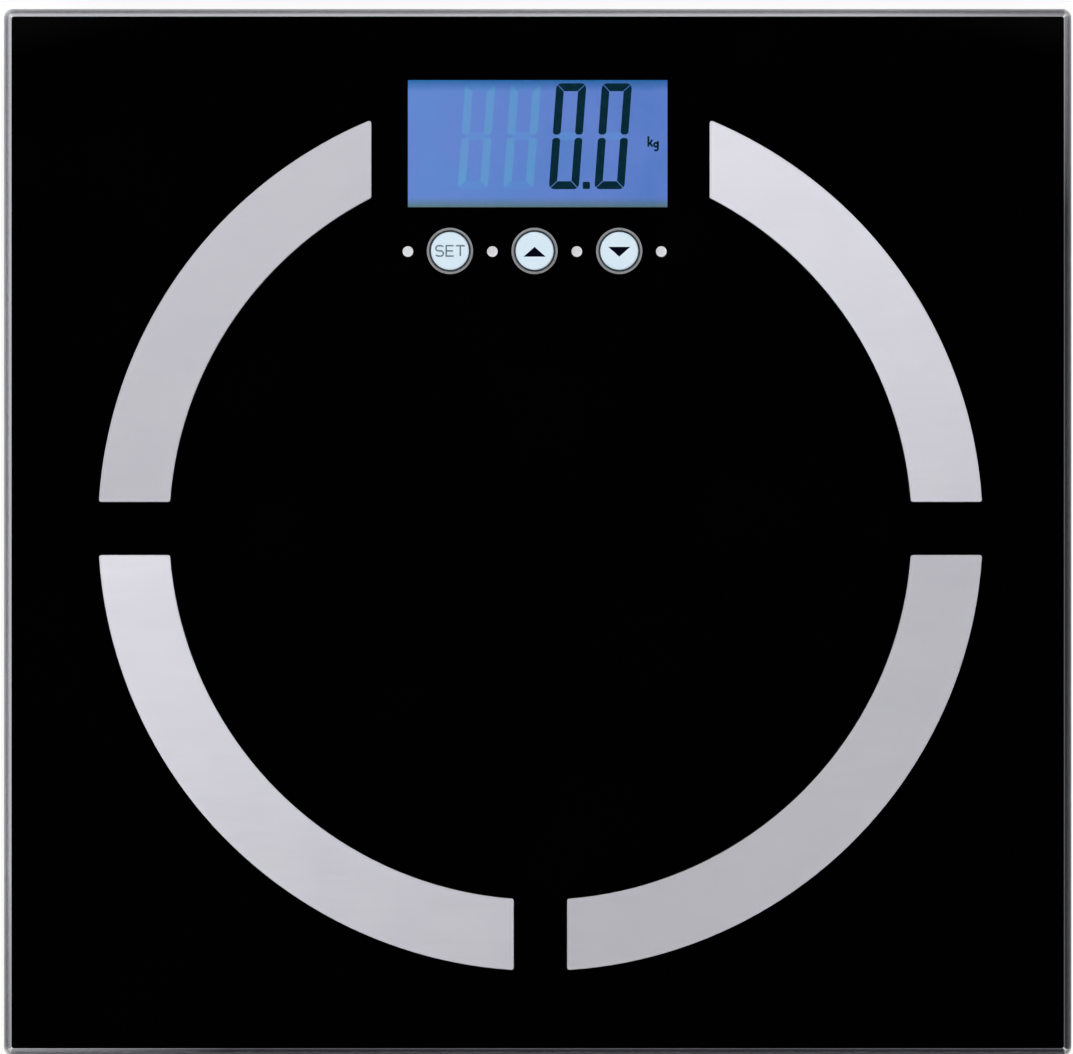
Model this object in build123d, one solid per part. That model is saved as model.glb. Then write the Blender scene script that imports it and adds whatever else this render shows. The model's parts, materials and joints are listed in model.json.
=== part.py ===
from build123d import *
import math
import os

# Digital bathroom scale: a glass platform with four steel contact arcs, bonded to a shallow
# tray that holds the display, the keys, the coin cells and four weighing feet.
# X runs to the right, Y from the heels to the display and Z up from the floor.
# Lengths are in millimetres and angles in degrees.

# Platform
PLATE_W = 310.0
PLATE_D = 304.0
PLATE_CORNER_R = 2.5
GLASS_T = 6.0
ARRIS = 1.1
FILM_T = 0.2
FILM_INSET = 1.9
FILM_CORNER_R = 0.8
TAPE_T = 0.8
TAPE_W = 7.0
TAPE_INSET = 0.5

# Contact arcs and their studs
RING_EDGE = 23.6
RING_X = 0.8
RING_Y = 1.15
ARC_W = 20.6
ARC_T = 0.5
ARC_CORNER_R = 0.7
ARC_EDGE = 0.12
TOE_SPACING = 98.2
HEEL_SPACING = 15.5
SIDE_SPACING = 15.4
TOE_STUD_ANGLE = 40.0
HEEL_STUD_ANGLE = -45.0
STUD_R = 1.5
STUD_HOLE_GAP = 1.0
STUD_PROUD = 0.6
TERMINAL_R = 4.0
TERMINAL_T = 0.8
TERMINAL_TAIL = 9.0
TERMINAL_TAIL_W = 2.4
NUT_ACROSS = 5.5
NUT_H = 2.4

# Display
WINDOW_W = 75.5
WINDOW_D = 37.0
WINDOW_EDGE = 20.4
LCD_LAP = 2.5
LCD_T = 2.8
BACKLIGHT_T = 3.0
BACKLIGHT_SIDE = 1.25
ZEBRA_W = 2.2
ZEBRA_EDGE = 0.9
ZEBRA_SIDE = 3.25
FRAME_WALL = 1.8
FRAME_FLOOR_T = 1.2
FRAME_PEG_R = 1.2
FRAME_PEG_PROUD = 0.4
FRAME_PEG_EDGE = 2.65
FIT_GAP = 0.1

# Circuit board
BOARD_T = 1.6
BOARD_SIDE = 8.0
BOARD_TOP_EDGE = 1.0
BOARD_KEY_EDGE = 13.7
BOARD_BOSS_H = 2.5
BOARD_SCREW_EDGE = 4.0
CHIP_R = 7.0
CHIP_H = 1.4
CHIP_X = -20.0

# Keys
KEY_X = -0.9
KEY_DROP = 12.9
KEY_PITCH = 24.57
KEY_CAP_R = 5.5
KEY_CAP_CHAMFER = 0.3
KEY_CAP_WALL = 1.2
KEY_CAP_PROUD = 0.2
KEY_POST_R = 2.0
KEY_FLANGE_LAP = 0.7
KEY_FLANGE_T = 1.0
KEY_TRAVEL = 0.5
KEY_GAP = 0.55
RING_WALL = 0.3
RING_LIP = 0.35
RING_LIP_T = 0.4
RING_LIP_EDGE = 0.15
GLUE_GAP = 0.05
SWITCH_W = 6.2
SWITCH_H = 3.5
PLUNGER_R = 1.75
PLUNGER_PROUD = 1.1
PLUNGER_DEPTH = 0.6
DOT_R = 1.55

# Tray
FLOOR_GAP = 4.5
TRAY_INSET = 10.0
TRAY_CORNER_R = 20.0
TRAY_WALL = 2.2
TRAY_FLOOR_T = 2.2
TRAY_TAPER = 12.0
TRAY_EDGE_R = 2.5
FLANGE_W = 5.0
FLANGE_T = 1.6
RIB_T = 1.6
RIB_H = 3.0
RIB_GAP = 14.0
RIB_PITCH = 60.0
LABEL_W = 70.0
LABEL_D = 40.0
LABEL_DEPTH = 0.3
LABEL_DROP = 62.0
BOSS_R = 3.0

# Screws
SCREW_R = 1.0
SCREW_HEAD_R = 2.0
SCREW_HEAD_H = 1.3
SCREW_SLOT_W = 0.6
SCREW_SLOT_DEPTH = 0.6
THREAD_GAP = 0.05
SCREW_HOLE_GAP = 0.2
SCREW_END_GAP = 0.2

# Feet and weighing cells
PAD_R = 18.0
PAD_T = 2.0
PAD_PROUD = 1.0
PAD_EDGE_R = 0.4
PAD_GROOVE_W = 1.5
PAD_GROOVE_DEPTH = 0.6
PAD_GROOVE_RADII = (7.0, 12.5)
FOOT_EDGE = 9.8
FOOT_GAP = 1.2
FOOT_WEB_T = 2.0
FOOT_RIM_T = 2.0
FOOT_RIM_RISE = 0.8
FOOT_EDGE_R = 0.8
FOOT_POST_R = 5.0
FOOT_TRAVEL = 0.4
RUN_GAP = 0.2
SPIGOT_R = 1.9
BARB_H = 0.6
BARB_LIP = 0.6
LOAD_CELL_W = 34.0
LOAD_CELL_T = 2.2
LOAD_CELL_CORNER_R = 5.0
LOAD_CELL_GAP = 1.2
RAIL_W = 5.0
ROOT_W = 8.0
SLOT_W = 1.6
GAUGE_W = 6.0
GAUGE_T = 0.6
CLIP_T = 1.4
CLIP_LAP = 4.5
CLIP_GAP = 0.4
CLIP_BOSS_R = 2.6
SEAT_W = 3.5
WELL_WALL = 2.0
WELL_ROOF_T = 2.0
WIRE_SLOT_W = 5.0

# Coin cells, their bay and its door
COIN_R = 10.0
COIN_T = 3.2
COIN_EDGE_R = 0.3
COIN_PITCH = 22.5
COIN_END_ROOM = 1.75
COIN_SIDE_ROOM = 0.8
BAY_DROP = 36.0
BAY_WALL = 1.6
BAY_ROOF_T = 1.5
BAY_LEDGE_T = 1.5
BAY_LEDGE_RIM = 2.0
SPRING_T = 0.3
SPRING_W = 5.0
SPRING_ROOM = 1.2
SPRING_REACH = 7.0
SPRING_TIP = 2.5
CONTACT_T = 0.4
CONTACT_H = 2.8
CONTACT_LIFT = 0.3
CONTACT_REACH = 6.0
TAB_W = 3.0
TAB_PROUD = 2.0
TAB_GAP = 0.2
DOOR_LAP = 4.0
DOOR_LAP_D = 5.0
DOOR_T = 2.0
DOOR_GAP = 0.3
DOOR_RIB_W = 1.2
DOOR_RIB_H = 0.4
DOOR_RIB_D = 14.0
HINGE_PIN_R = 0.7
HINGE_PIN_L = 1.6
HINGE_GAP = 0.05
HINGE_MOUTH = 1.0
LATCH_W = 12.0
LATCH_D = 8.0
LATCH_SLIT = 1.0
SCOOP_R = 8.0
SCOOP_DEPTH = 1.0

# Unit button
UNIT_X = 32.0
UNIT_R = 2.8
UNIT_GAP = 0.2
UNIT_FLANGE_LAP = 1.0
UNIT_FLANGE_T = 0.5
UNIT_RECESS = 0.3
UNIT_TRAVEL = 0.3
UNIT_PLUNGER_R = 1.0
UNIT_PLUNGER_PROUD = 0.6
UNIT_PLUNGER_DEPTH = 0.4
UNIT_SWITCH_W = 4.5

# Wires
WIRE_R = 0.5
WIRE_PITCH = 1.2
WIRE_BEND_R = 6.0
WIRE_LANDING = 4.0

# Heights, from the floor up
TRAY_BOTTOM = FLOOR_GAP
TRAY_FLOOR = TRAY_BOTTOM + TRAY_FLOOR_T
BOARD_BOTTOM = TRAY_FLOOR + BOARD_BOSS_H
BOARD_TOP = BOARD_BOTTOM + BOARD_T
BACKLIGHT_BOTTOM = BOARD_TOP + FRAME_FLOOR_T
LCD_BOTTOM = BACKLIGHT_BOTTOM + BACKLIGHT_T
FILM_BOTTOM = LCD_BOTTOM + LCD_T
TRAY_TOP = FILM_BOTTOM - TAPE_T
TRAY_H = TRAY_TOP - TRAY_BOTTOM
FILM_TOP = FILM_BOTTOM + FILM_T
GLASS_BOTTOM = FILM_TOP + GLUE_GAP
GLASS_TOP = GLASS_BOTTOM + GLASS_T
TERMINAL_BOTTOM = FILM_BOTTOM - TERMINAL_T
NUT_BOTTOM = TERMINAL_BOTTOM - NUT_H
SWITCH_TOP = BOARD_TOP + SWITCH_H
PLUNGER_TOP = SWITCH_TOP + PLUNGER_PROUD
KEY_FLANGE_BOTTOM = FILM_BOTTOM - KEY_FLANGE_T
RING_TOP = GLASS_TOP + RING_LIP_T
KEY_TOP = RING_TOP + KEY_CAP_PROUD
FOOT_BOTTOM = PAD_PROUD
FOOT_WEB_TOP = PAD_T + FOOT_WEB_T
FOOT_RIM_TOP = TRAY_BOTTOM + FOOT_RIM_RISE
CLIP_HEAD_BOTTOM = FOOT_RIM_TOP + FOOT_TRAVEL + RUN_GAP
CLIP_BOTTOM = CLIP_HEAD_BOTTOM + SCREW_HEAD_H
LOAD_CELL_BOTTOM = CLIP_BOTTOM + CLIP_T
LOAD_CELL_TOP = LOAD_CELL_BOTTOM + LOAD_CELL_T
WELL_ROOF = LOAD_CELL_TOP + BARB_H + FOOT_TRAVEL + RUN_GAP
WELL_TOP = WELL_ROOF + WELL_ROOF_T
DOOR_TOP = TRAY_BOTTOM + DOOR_T
BAY_LEDGE = DOOR_TOP + FIT_GAP
COIN_BOTTOM = DOOR_TOP + DOOR_RIB_H
COIN_TOP = COIN_BOTTOM + COIN_T
BAY_ROOF = COIN_TOP + SPRING_ROOM
BAY_TOP = BAY_ROOF + BAY_ROOF_T
TAB_TOP = BAY_TOP + TAB_PROUD
UNIT_FLANGE_TOP = TRAY_FLOOR + UNIT_FLANGE_T
UNIT_SWITCH_BOTTOM = UNIT_FLANGE_TOP + UNIT_PLUNGER_PROUD

# Widths, depths and places in plan
TRAY_W = PLATE_W - 2 * TRAY_INSET
TRAY_D = PLATE_D - 2 * TRAY_INSET
RING_OUTER_R = min(PLATE_W, PLATE_D) / 2 - RING_EDGE
RING_INNER_R = RING_OUTER_R - ARC_W
STUD_RING_R = (RING_OUTER_R + RING_INNER_R) / 2
STUD_HOLE_R = STUD_R + STUD_HOLE_GAP
LCD_W = WINDOW_W + 2 * LCD_LAP
LCD_D = WINDOW_D + 2 * LCD_LAP
LCD_Y = PLATE_D / 2 - WINDOW_EDGE - WINDOW_D / 2
ZEBRA_Y = LCD_D / 2 - ZEBRA_EDGE - ZEBRA_W / 2
ZEBRA_L = LCD_W - 2 * ZEBRA_SIDE
BACKLIGHT_W = LCD_W - 2 * BACKLIGHT_SIDE
BACKLIGHT_D = 2 * (ZEBRA_Y - ZEBRA_W / 2 - ZEBRA_EDGE)
FRAME_W = LCD_W + 2 * (FIT_GAP + FRAME_WALL)
FRAME_D = LCD_D + 2 * (FIT_GAP + FRAME_WALL)
FRAME_PEG_X = FRAME_W / 2 - FRAME_PEG_EDGE
KEY_Y = LCD_Y - WINDOW_D / 2 - KEY_DROP
KEY_RING_R = KEY_CAP_R + KEY_GAP
KEY_SLEEVE_R = KEY_RING_R + RING_WALL
KEY_HOLE_R = KEY_SLEEVE_R + GLUE_GAP
KEY_FLANGE_R = KEY_HOLE_R + GLUE_GAP + KEY_FLANGE_LAP
BOARD_W = FRAME_W + 2 * BOARD_SIDE
BOARD_Y_MAX = LCD_Y + FRAME_D / 2 + BOARD_TOP_EDGE
BOARD_Y_MIN = KEY_Y - BOARD_KEY_EDGE
BOARD_D = BOARD_Y_MAX - BOARD_Y_MIN
BOARD_Y = (BOARD_Y_MAX + BOARD_Y_MIN) / 2
LOAD_CELL_HALF_DIAGONAL = (LOAD_CELL_W / 2 - LOAD_CELL_CORNER_R) * math.sqrt(2) + LOAD_CELL_CORNER_R
CLIP_SCREW_Y = LOAD_CELL_W / 2 + CLIP_BOSS_R + RUN_GAP
WELL_R = max(LOAD_CELL_HALF_DIAGONAL, CLIP_SCREW_Y + CLIP_BOSS_R) + LOAD_CELL_GAP
WELL_OUTER_R = WELL_R + WELL_WALL
FOOT_R = WELL_R - FOOT_GAP
FOOT_X = TRAY_W / 2 - FOOT_EDGE - WELL_OUTER_R
FOOT_Y = TRAY_D / 2 - FOOT_EDGE - WELL_OUTER_R
BAY_Y = BOARD_Y_MIN - BAY_DROP
BAY_W = COIN_PITCH + 2 * (COIN_R + COIN_END_ROOM)
BAY_D = 2 * (COIN_R + COIN_SIDE_ROOM)
DOOR_W = BAY_W + 2 * DOOR_LAP
DOOR_D = BAY_D + 2 * DOOR_LAP_D
HINGE_Y = BAY_Y - DOOR_D / 2 + DOOR_T / 2
HINGE_Z = TRAY_BOTTOM + DOOR_T / 2
TAB_Y = BAY_Y + CONTACT_REACH + TAB_W / 2
CONTACT_X = BAY_W / 2 - CONTACT_T / 2
SPRING_TAB_X = COIN_PITCH / 2 + SPRING_REACH
UNIT_Y = KEY_Y

KEYS = ("set", "up", "down")
SIDES = (("left", -1), ("right", 1))
ENDS = (("toe", 1), ("heel", -1))


def key_x(index):
    return KEY_X + (index - (len(KEYS) - 1) / 2) * KEY_PITCH


def stud_place(end, side_sign):
    angle = math.radians(TOE_STUD_ANGLE if end == "toe" else HEEL_STUD_ANGLE)
    return (
        RING_X + side_sign * STUD_RING_R * math.cos(angle),
        RING_Y + STUD_RING_R * math.sin(angle),
    )


KEY_PLACES = [(key_x(index), KEY_Y) for index in range(len(KEYS))]
DOT_PLACES = [(key_x(index - 0.5), KEY_Y) for index in range(len(KEYS) + 1)]
STUD_PLACES = [stud_place(end, sign) for end, end_sign in ENDS for side, sign in SIDES]
BOARD_SCREW_PLACES = [
    (sign * (BOARD_W / 2 - BOARD_SCREW_EDGE), y)
    for sign in (-1, 1)
    for y in (BOARD_Y_MIN + BOARD_SCREW_EDGE, BOARD_Y_MAX - BOARD_SCREW_EDGE)
]


def cylinder(radius, bottom, top, place=(0.0, 0.0)):
    return Pos(place[0], place[1], (bottom + top) / 2) * Cylinder(radius, top - bottom)


def block(width, depth, bottom, top, place=(0.0, 0.0)):
    return Pos(place[0], place[1], (bottom + top) / 2) * Box(width, depth, top - bottom)


def slab(width, depth, corner, bottom, top, place=(0.0, 0.0)):
    outline = Pos(place[0], place[1], bottom) * RectangleRounded(width, depth, corner)
    return extrude(outline, top - bottom)


def lowest_edges(shape):
    return shape.faces().sort_by(Axis.Z)[0].edges()


def highest_edges(shape):
    return shape.faces().sort_by(Axis.Z)[-1].edges()


# Platform

def glass_platform():
    plate = slab(PLATE_W, PLATE_D, PLATE_CORNER_R, GLASS_BOTTOM, GLASS_TOP)
    plate = chamfer(list(highest_edges(plate)) + list(lowest_edges(plate)), ARRIS)
    for place in KEY_PLACES:
        plate -= cylinder(KEY_HOLE_R, GLASS_BOTTOM, GLASS_TOP, place)
    for place in STUD_PLACES:
        plate -= cylinder(STUD_HOLE_R, GLASS_BOTTOM, GLASS_TOP, place)
    return plate


def back_film():
    film = slab(
        PLATE_W - 2 * FILM_INSET,
        PLATE_D - 2 * FILM_INSET,
        FILM_CORNER_R,
        FILM_BOTTOM,
        FILM_TOP,
    )
    film -= block(WINDOW_W, WINDOW_D, FILM_BOTTOM, FILM_TOP, (0.0, LCD_Y))
    for place in KEY_PLACES:
        film -= cylinder(KEY_HOLE_R + GLUE_GAP, FILM_BOTTOM, FILM_TOP, place)
    for place in STUD_PLACES:
        film -= cylinder(STUD_HOLE_R, FILM_BOTTOM, FILM_TOP, place)
    for place in DOT_PLACES:
        film -= cylinder(DOT_R, FILM_BOTTOM, FILM_TOP, place)
    return film


def dot_marks():
    return Compound([cylinder(DOT_R, FILM_BOTTOM, FILM_TOP, place) for place in DOT_PLACES])


def glass_tape():
    spread = 2 * (FLANGE_W - TAPE_INSET)
    corner = TRAY_CORNER_R + FLANGE_W - TAPE_INSET
    outer = slab(TRAY_W + spread, TRAY_D + spread, corner, TRAY_TOP, FILM_BOTTOM)
    inner = slab(
        TRAY_W + spread - 2 * TAPE_W,
        TRAY_D + spread - 2 * TAPE_W,
        corner - TAPE_W,
        TRAY_TOP,
        FILM_BOTTOM,
    )
    return outer - inner


# Contact arcs

def electrode(end, end_sign, side_sign):
    spacing = TOE_SPACING if end == "toe" else HEEL_SPACING
    width = RING_OUTER_R - spacing / 2
    depth = RING_OUTER_R - SIDE_SPACING / 2
    quarter = Pos(
        side_sign * (spacing / 2 + width / 2),
        end_sign * (SIDE_SPACING / 2 + depth / 2),
    ) * Rectangle(width, depth)
    band = (Circle(RING_OUTER_R) - Circle(RING_INNER_R)) & quarter
    band = fillet(band.vertices(), ARC_CORNER_R)
    plate = extrude(Pos(RING_X, RING_Y, GLASS_TOP) * band, ARC_T)
    plate = chamfer(highest_edges(plate), ARC_EDGE)
    stud = cylinder(STUD_R, NUT_BOTTOM - STUD_PROUD, GLASS_TOP, stud_place(end, side_sign))
    return plate + stud


def electrode_terminals():
    tags = []
    for end, end_sign in ENDS:
        for side, side_sign in SIDES:
            x, y = stud_place(end, side_sign)
            tag = cylinder(TERMINAL_R, TERMINAL_BOTTOM, FILM_BOTTOM, (x, y))
            tail_place = (x - side_sign * TERMINAL_TAIL / 2, y)
            tag += block(TERMINAL_TAIL, TERMINAL_TAIL_W, TERMINAL_BOTTOM, FILM_BOTTOM, tail_place)
            tag -= cylinder(STUD_R + FIT_GAP, TERMINAL_BOTTOM, FILM_BOTTOM, (x, y))
            tags.append(tag)
    return Compound(tags)


def electrode_nuts():
    nuts = []
    for place in STUD_PLACES:
        outline = Pos(place[0], place[1], NUT_BOTTOM) * RegularPolygon(NUT_ACROSS / 2, 6, major_radius=False)
        nut = extrude(outline, NUT_H)
        nut -= cylinder(STUD_R + THREAD_GAP, NUT_BOTTOM, TERMINAL_BOTTOM, place)
        nuts.append(nut)
    return Compound(nuts)


# Display

def lcd_panel():
    return block(LCD_W, LCD_D, LCD_BOTTOM, FILM_BOTTOM, (0.0, LCD_Y))


def lcd_backlight():
    return block(BACKLIGHT_W, BACKLIGHT_D, BACKLIGHT_BOTTOM, LCD_BOTTOM, (0.0, LCD_Y))


def zebra_places():
    return [(0.0, LCD_Y + sign * ZEBRA_Y) for sign in (-1, 1)]


def peg_places():
    return [(x * FRAME_PEG_X, LCD_Y + y * ZEBRA_Y) for x in (-1, 1) for y in (-1, 1)]


def zebra_strips():
    return Compound([block(ZEBRA_L, ZEBRA_W, BOARD_TOP, LCD_BOTTOM, place) for place in zebra_places()])


def lcd_frame():
    room = 2 * FIT_GAP
    centre = (0.0, LCD_Y)
    frame = block(FRAME_W, FRAME_D, BOARD_TOP, FILM_BOTTOM, centre)
    frame -= block(LCD_W + room, LCD_D + room, LCD_BOTTOM, FILM_BOTTOM, centre)
    frame -= block(BACKLIGHT_W + room, BACKLIGHT_D + room, BACKLIGHT_BOTTOM, LCD_BOTTOM, centre)
    for place in zebra_places():
        frame -= block(ZEBRA_L + room, ZEBRA_W + room, BOARD_TOP, LCD_BOTTOM, place)
    for place in peg_places():
        frame += cylinder(FRAME_PEG_R, BOARD_BOTTOM - FRAME_PEG_PROUD, BOARD_TOP, place)
    return frame


# Circuit board

def main_board():
    board = block(BOARD_W, BOARD_D, BOARD_BOTTOM, BOARD_TOP, (0.0, BOARD_Y))
    for place in peg_places():
        board -= cylinder(FRAME_PEG_R + FIT_GAP, BOARD_BOTTOM, BOARD_TOP, place)
    for place in BOARD_SCREW_PLACES:
        board -= cylinder(SCREW_R + SCREW_HOLE_GAP, BOARD_BOTTOM, BOARD_TOP, place)
    return board


def controller_chip():
    dome_r = (CHIP_R**2 + CHIP_H**2) / (2 * CHIP_H)
    dome = Pos(CHIP_X, LCD_Y, BOARD_BOTTOM - CHIP_H + dome_r) * Sphere(dome_r)
    return dome & block(2 * CHIP_R, 2 * CHIP_R, BOARD_BOTTOM - CHIP_H, BOARD_BOTTOM, (CHIP_X, LCD_Y))


def screw(tip, seat, place, head_up):
    sign = 1 if head_up else -1
    head = sorted((seat, seat + sign * SCREW_HEAD_H))
    slot = sorted((head[sign > 0], head[sign > 0] - sign * SCREW_SLOT_DEPTH))
    shape = cylinder(SCREW_R, min(tip, seat), max(tip, seat), place)
    shape += cylinder(SCREW_HEAD_R, head[0], head[1], place)
    shape -= block(2 * SCREW_HEAD_R, SCREW_SLOT_W, slot[0], slot[1], place)
    shape -= block(SCREW_SLOT_W, 2 * SCREW_HEAD_R, slot[0], slot[1], place)
    return shape


def board_screws():
    tip = TRAY_FLOOR + SCREW_END_GAP
    return Compound([screw(tip, BOARD_TOP, place, True) for place in BOARD_SCREW_PLACES])


# Keys

def key_ring(place):
    ring = cylinder(KEY_SLEEVE_R, GLASS_BOTTOM, GLASS_TOP, place)
    lip = cylinder(KEY_SLEEVE_R + RING_LIP, GLASS_TOP, RING_TOP, place)
    ring += chamfer(highest_edges(lip), RING_LIP_EDGE)
    return ring - cylinder(KEY_RING_R, GLASS_BOTTOM, RING_TOP, place)


def key_cap(place):
    cap = cylinder(KEY_CAP_R, KEY_FLANGE_BOTTOM, KEY_TOP, place)
    cap = chamfer(highest_edges(cap), KEY_CAP_CHAMFER)
    cap += cylinder(KEY_FLANGE_R, KEY_FLANGE_BOTTOM, FILM_BOTTOM, place)
    cap -= cylinder(KEY_CAP_R - KEY_CAP_WALL, KEY_FLANGE_BOTTOM, KEY_TOP - KEY_CAP_WALL, place)
    return cap + cylinder(KEY_POST_R, PLUNGER_TOP, KEY_TOP - KEY_CAP_WALL, place)


def switch_body(place):
    body = block(SWITCH_W, SWITCH_W, BOARD_TOP, SWITCH_TOP, place)
    floor = SWITCH_TOP - PLUNGER_DEPTH - KEY_TRAVEL - RUN_GAP
    return body - cylinder(PLUNGER_R + FIT_GAP, floor, SWITCH_TOP, place)


def switch_plunger(place):
    return cylinder(PLUNGER_R, SWITCH_TOP - PLUNGER_DEPTH, PLUNGER_TOP, place)


def key_switches():
    return Compound([switch_body(place) for place in KEY_PLACES])


# Feet and weighing cells, each made about its own centre with its wires leaving along local X

def foot_place(end_sign, side_sign):
    turn = 0.0 if side_sign < 0 else 180.0
    return Pos(side_sign * FOOT_X, end_sign * FOOT_Y, 0.0) * Rot(0.0, 0.0, turn)


def clip_screw_places():
    return [(0.0, sign * CLIP_SCREW_Y) for sign in (-1, 1)]


def foot_pad():
    pad = cylinder(PAD_R, 0.0, PAD_T)
    pad = fillet(lowest_edges(pad), PAD_EDGE_R)
    for radius in PAD_GROOVE_RADII:
        groove = cylinder(radius + PAD_GROOVE_W / 2, 0.0, PAD_GROOVE_DEPTH)
        pad -= groove - cylinder(radius - PAD_GROOVE_W / 2, 0.0, PAD_GROOVE_DEPTH)
    return pad


def foot():
    body = cylinder(FOOT_R, FOOT_BOTTOM, FOOT_RIM_TOP)
    body = fillet(lowest_edges(body), FOOT_EDGE_R)
    body -= cylinder(FOOT_R - FOOT_RIM_T, FOOT_WEB_TOP, FOOT_RIM_TOP)
    body -= cylinder(PAD_R + FIT_GAP, FOOT_BOTTOM, PAD_T)
    body += cylinder(FOOT_POST_R, FOOT_WEB_TOP, LOAD_CELL_BOTTOM)
    body += cylinder(SPIGOT_R, LOAD_CELL_BOTTOM, LOAD_CELL_TOP)
    barb = cylinder(SPIGOT_R + BARB_LIP, LOAD_CELL_TOP, LOAD_CELL_TOP + BARB_H)
    return body + chamfer(highest_edges(barb), BARB_H / 2)


def load_cell():
    cell = slab(LOAD_CELL_W, LOAD_CELL_W, LOAD_CELL_CORNER_R, LOAD_CELL_BOTTOM, LOAD_CELL_TOP)
    far = -LOAD_CELL_W / 2 + RAIL_W
    root = LOAD_CELL_W / 2 - ROOT_W
    half = LOAD_CELL_W / 2 - RAIL_W
    opening = block(root - far, 2 * half, LOAD_CELL_BOTTOM, LOAD_CELL_TOP, ((root + far) / 2, 0.0))
    tongue = block(
        root - far - SLOT_W,
        2 * (half - SLOT_W),
        LOAD_CELL_BOTTOM,
        LOAD_CELL_TOP,
        ((root + far + SLOT_W) / 2, 0.0),
    )
    return cell - (opening - tongue) - cylinder(SPIGOT_R + FIT_GAP, LOAD_CELL_BOTTOM, LOAD_CELL_TOP)


GAUGE_X = LOAD_CELL_W / 2 - ROOT_W - GAUGE_W / 2


def strain_gauge():
    return block(GAUGE_W, GAUGE_W, LOAD_CELL_TOP, LOAD_CELL_TOP + GAUGE_T, (GAUGE_X, 0.0))


def load_cell_clip():
    clip = cylinder(WELL_R - CLIP_GAP, CLIP_BOTTOM, LOAD_CELL_BOTTOM)
    window = LOAD_CELL_W - 2 * CLIP_LAP
    clip -= block(window, window, CLIP_BOTTOM, LOAD_CELL_BOTTOM)
    for place in clip_screw_places():
        clip -= cylinder(SCREW_R + SCREW_HOLE_GAP, CLIP_BOTTOM, LOAD_CELL_BOTTOM, place)
    return clip


def clip_screw(place):
    return screw(WELL_ROOF - SCREW_END_GAP, CLIP_BOTTOM, place, False)


# Coin cells and their contacts

def coin_places():
    return [(sign * COIN_PITCH / 2, BAY_Y) for sign in (-1, 1)]


def coin_cells():
    cells = []
    for place in coin_places():
        cell = cylinder(COIN_R, COIN_BOTTOM, COIN_TOP, place)
        cells.append(fillet(list(lowest_edges(cell)) + list(highest_edges(cell)), COIN_EDGE_R))
    return Compound(cells)


def cell_springs():
    half = SPRING_T / 2
    springs = []
    for sign in (-1, 1):
        centre = sign * COIN_PITCH / 2
        path = Polyline(
            (centre + sign * SPRING_REACH, TAB_TOP),
            (centre + sign * SPRING_REACH, BAY_ROOF - half),
            (centre, BAY_ROOF - half),
            (centre - sign * SPRING_REACH / 2, COIN_TOP + half),
            (centre - sign * (SPRING_REACH / 2 + SPRING_TIP), COIN_TOP + half),
        )
        strip = trace(path, line_width=SPRING_T)
        side = Plane(origin=(0.0, BAY_Y, 0.0), x_dir=(1.0, 0.0, 0.0), z_dir=(0.0, -1.0, 0.0))
        springs.append(extrude(side * strip, SPRING_W / 2, both=True))
    return Compound(springs)


def cell_side_contacts():
    bottom = BAY_LEDGE + CONTACT_LIFT
    contacts = []
    for sign in (-1, 1):
        wall = sign * CONTACT_X
        rim = sign * (COIN_PITCH / 2 + COIN_R + CONTACT_T / 2)
        path = Polyline(
            (wall, BAY_Y - CONTACT_REACH),
            (rim, BAY_Y - TAB_W / 2),
            (rim, BAY_Y + TAB_W / 2),
            (wall, BAY_Y + CONTACT_REACH),
            (wall, BAY_Y + CONTACT_REACH + TAB_W),
        )
        strip = extrude(Pos(0.0, 0.0, bottom) * trace(path, line_width=CONTACT_T), CONTACT_H)
        contacts.append(strip + block(CONTACT_T, TAB_W, bottom, TAB_TOP, (wall, TAB_Y)))
    return Compound(contacts)


def battery_door():
    door = block(DOOR_W, DOOR_D - DOOR_T / 2, TRAY_BOTTOM, DOOR_TOP, (0.0, BAY_Y + DOOR_T / 4))
    axle = Pos(0.0, HINGE_Y, HINGE_Z) * Rot(0.0, 90.0, 0.0)
    door += axle * Cylinder(DOOR_T / 2, DOOR_W)
    door += axle * Cylinder(HINGE_PIN_R, DOOR_W + 2 * HINGE_PIN_L)
    for x, y in coin_places():
        door += block(DOOR_RIB_W, DOOR_RIB_D, DOOR_TOP, COIN_BOTTOM, (x, y))
    latch_y = BAY_Y + DOOR_D / 2 - LATCH_D / 2
    for sign in (-1, 1):
        slit_place = (sign * (LATCH_W + LATCH_SLIT) / 2, latch_y)
        door -= block(LATCH_SLIT, LATCH_D, TRAY_BOTTOM, DOOR_TOP, slit_place)
    return door


# Unit button

def unit_button():
    place = (UNIT_X, UNIT_Y)
    button = cylinder(UNIT_R, TRAY_BOTTOM + UNIT_RECESS, TRAY_FLOOR, place)
    return button + cylinder(UNIT_R + UNIT_GAP + UNIT_FLANGE_LAP, TRAY_FLOOR, UNIT_FLANGE_TOP, place)


def unit_switch():
    place = (UNIT_X, UNIT_Y)
    body = block(UNIT_SWITCH_W, UNIT_SWITCH_W, UNIT_SWITCH_BOTTOM, BOARD_BOTTOM, place)
    ceiling = UNIT_SWITCH_BOTTOM + UNIT_PLUNGER_DEPTH + UNIT_TRAVEL + RUN_GAP
    return body - cylinder(UNIT_PLUNGER_R + FIT_GAP, UNIT_SWITCH_BOTTOM, ceiling, place)


def unit_switch_plunger():
    top = UNIT_SWITCH_BOTTOM + UNIT_PLUNGER_DEPTH
    return cylinder(UNIT_PLUNGER_R, UNIT_FLANGE_TOP, top, (UNIT_X, UNIT_Y))


# Tray

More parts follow.
